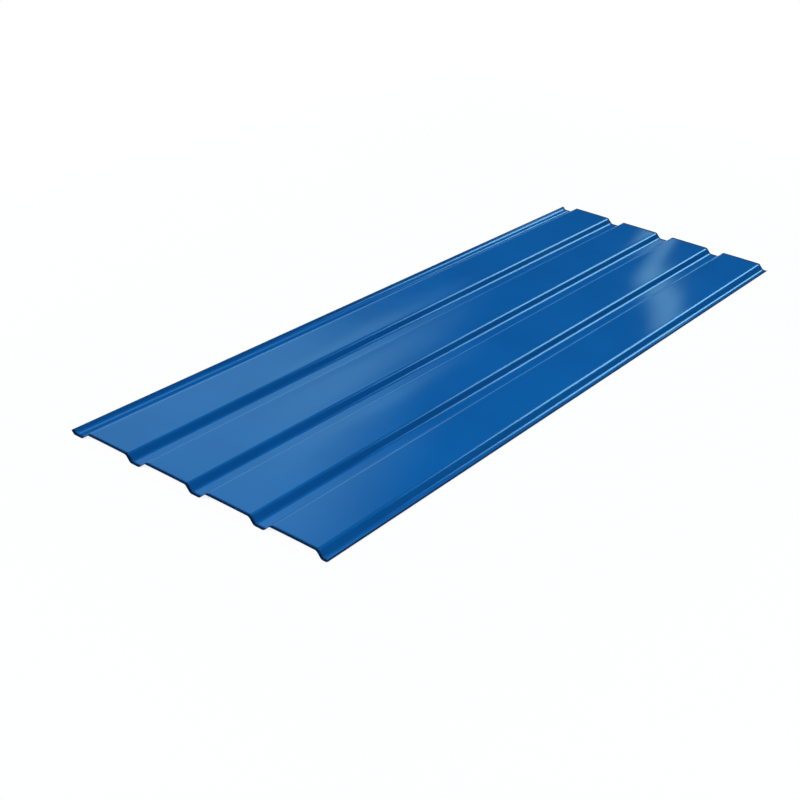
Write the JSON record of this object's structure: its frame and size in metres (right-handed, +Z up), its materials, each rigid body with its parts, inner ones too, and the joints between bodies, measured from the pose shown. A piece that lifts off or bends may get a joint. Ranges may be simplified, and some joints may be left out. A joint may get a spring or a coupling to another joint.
{
  "type": "trapezoidal profiled steel sheet",
  "caption": "Long painted steel roofing and cladding sheet, roll-formed into wide flat pans with narrow valleys, with a lipped underlap edge and a flanged overlap edge.",
  "frame": {"origin": "middle of the middle valley's underside, on the plane that the valleys rest on", "axes": "+X across the sheet from the underlap edge to the overlap edge, +Y along its length, +Z up out of the pans"},
  "size_m": [1.0334, 3, 0.0225],
  "materials": {
    "painted_steel": "semi-gloss blue coil coating"
  },
  "bodies": {
    "root": {"profiled_sheet": "painted_steel"}
  },
  "joints": []
}
